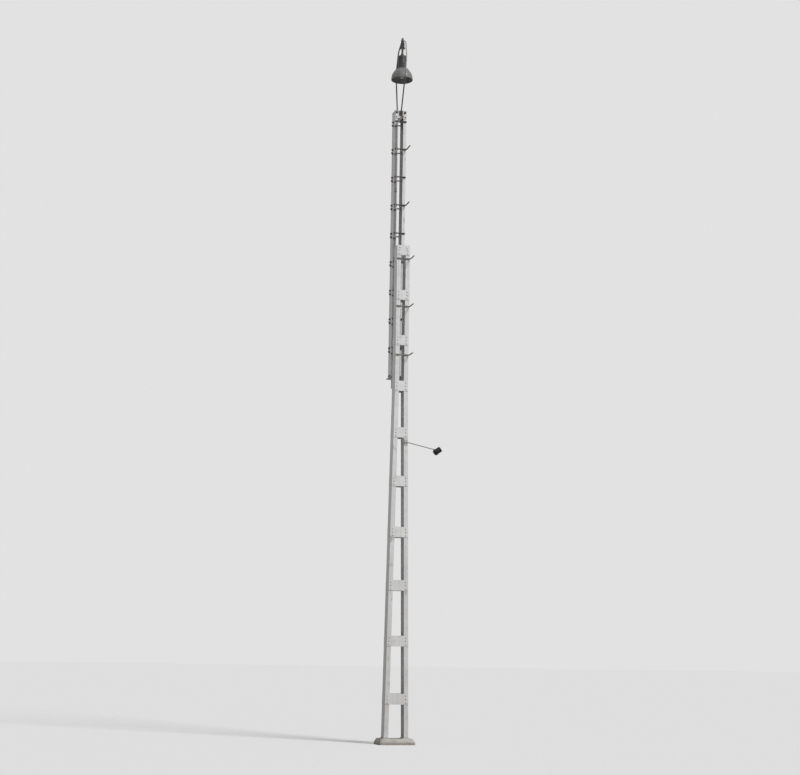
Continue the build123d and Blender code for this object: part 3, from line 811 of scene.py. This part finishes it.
# Side arm: straps over the rod on its plate, and corner bolts
arm_fixings = Piece("arm_fixings", "batten_paint")
plate_low, plate_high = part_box("arm_plate")
arm_low, arm_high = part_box("drum_arm")
arm_start = Vector((plate_low.x, plate_low.y, arm_high.z - ARM_RADIUS))
arm_end = Vector((arm_high.x, plate_low.y, arm_low.z + ARM_RADIUS))
arm_run = (arm_end - arm_start).normalized()
for step in ARM_STRAP_STEPS:
    arm_fixings.strapped(arm_start + arm_run * step, -Y, arm_run, TINY_BOLT)
for x in (plate_low.x + ARM_BOLT_INSET, plate_high.x - ARM_BOLT_INSET):
    for z in (plate_low.z + ARM_BOLT_INSET, plate_high.z - ARM_BOLT_INSET):
        arm_fixings.bolt(Vector((x, plate_low.y, z)), -Y, TINY_BOLT)
arm_fixings.make()

# Bolt of the drum's band
clamp_bolt = Piece("drum_clamp_bolt", "drum_paint")
band = middle("drum_band")
band_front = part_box("drum_band")[0].y
clamp_bolt.bolt(Vector((band.x, band_front, band.z)), -Y, SMALL_BOLT, end=0.8)
clamp_bolt.make()

# Foundation: worn concrete with a mortar pad round each foot
block = Piece("worn_foundation", "concrete")
half_width, half_depth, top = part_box("foundation_head")[1]
top_width, top_depth = half_width - BEVEL_WIDTH, half_depth - BEVEL_WIDTH
block_levels = []
for share in (0.0, 0.3, 0.6, 0.9, 1.0):
    block_levels.append((half_width, half_depth, top * BEVEL_START * share))
for share in (0.15, 0.4, 0.65, 0.88, 0.97, 1.0):
    inset = BEVEL_WIDTH * share
    height = top * (BEVEL_START + (1 - BEVEL_START) * share)
    block_levels.append((half_width - inset, half_depth - inset, height))
for share in (0.94, 0.85, 0.72, 0.58, 0.42, 0.26, 0.1):
    block_levels.append((top_width * share, top_depth * share, top))
block.add(mound(block_levels, BLOCK_WEAR))
pad_levels = [
    (0.072, 0.132, 0.004),
    (0.068, 0.128, 0.012),
    (0.058, 0.118, 0.020),
    (0.045, 0.106, 0.0235),
    (0.030, 0.090, 0.0245),
    (0.010, 0.050, 0.025),
]
pad = mound(pad_levels, PAD_WEAR, power=6, around=96)
for side in SIDES:
    block.add(pad, Matrix.Translation((side * PAD_X, 0, top - PAD_SINK)))
block.make(sharp=50, replaced=("foundation_head",))

# Floor
floor_mesh = bpy.data.meshes.new("studio_floor")
half = FLOOR_SIZE / 2
corners = [(-half, -half, 0), (half, -half, 0), (half, half, 0), (-half, half, 0)]
floor_mesh.from_pydata(corners, [], [(0, 1, 2, 3)])
floor = link(bpy.data.objects.new("studio_floor", floor_mesh))
floor_mesh.materials.append(pale_floor())

# Even light from all round, and a backdrop that only the camera and reflections see
world = bpy.data.worlds.new("studio")
bpy.context.scene.world = world
world.use_nodes = True
tree = world.node_tree
rays = tree.nodes.new("ShaderNodeLightPath")
seen = tree.nodes.new("ShaderNodeMath")
seen.operation = "MAXIMUM"
tree.links.new(rays.outputs["Is Camera Ray"], seen.inputs[0])
tree.links.new(rays.outputs["Is Glossy Ray"], seen.inputs[1])
tint = tree.nodes.new("ShaderNodeMix")
tint.data_type = "RGBA"
tint.inputs[6].default_value = grey(AMBIENT)
tint.inputs[7].default_value = grey(BACKDROP)
tree.links.new(seen.outputs[0], tint.inputs["Factor"])
tree.links.new(tint.outputs[2], tree.nodes["Background"].inputs["Color"])

# Soft light from one side
sun_data = bpy.data.lights.new("soft_sun", "SUN")
sun_data.energy = SUN_STRENGTH
sun_data.angle = SUN_ANGLE
sun = link(bpy.data.objects.new("soft_sun", sun_data))
sun.rotation_euler = SUN_TURN

# Camera
camera_data = bpy.data.cameras.new("camera")
camera_data.sensor_width = SENSOR_WIDTH
camera_data.lens = CAMERA_LENS
camera = link(bpy.data.objects.new("camera", camera_data))
yaw = atan2(-CAMERA_PLACE[0], -CAMERA_PLACE[1])
camera.matrix_world = (
    Matrix.Translation(Vector(CAMERA_PLACE))
    @ Matrix.Rotation(-yaw, 4, "Z")
    @ Matrix.Rotation(radians(90) + CAMERA_PITCH, 4, "X")
    @ Matrix.Rotation(CAMERA_ROLL, 4, "Z")
)
bpy.context.scene.camera = camera
bpy.context.scene.view_settings.view_transform = "Standard"
